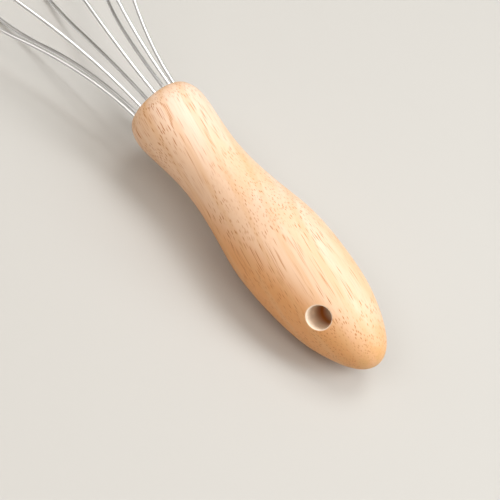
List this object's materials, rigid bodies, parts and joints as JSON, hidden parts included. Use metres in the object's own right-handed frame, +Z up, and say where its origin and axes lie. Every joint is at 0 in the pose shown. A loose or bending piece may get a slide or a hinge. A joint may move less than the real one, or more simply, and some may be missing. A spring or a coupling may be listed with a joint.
{
  "type": "balloon whisk",
  "caption": "Balloon whisk with a turned wooden handle, a hanging hole near its rounded tip and a head of nested steel wire loops, lying on a surface.",
  "frame": {"origin": "on the surface that the whisk lies on, under the middle of its bounding box", "axes": "+X along the whisk towards the wire head, +Z up, +Y to the side; the axis of the handle rises 4.8 degrees towards the head"},
  "size_m": [0.2418, 0.06, 0.0607],
  "materials": {
    "handle_wood": "pale rubberwood with short darker pores along the grain, satin lacquer",
    "core_wood": "plain turned hardwood dowel, matt",
    "resin": "amber casting resin, smooth",
    "steel_wire": "bright polished stainless spring wire"
  },
  "bodies": {
    "root": {"handle": "handle_wood", "core_plug": "core_wood", "resin_bed": "resin", "resin_seal": "resin", "wire_loop_1": "steel_wire", "wire_loop_2": "steel_wire", "wire_loop_3": "steel_wire", "wire_loop_4": "steel_wire"}
  },
  "joints": []
}
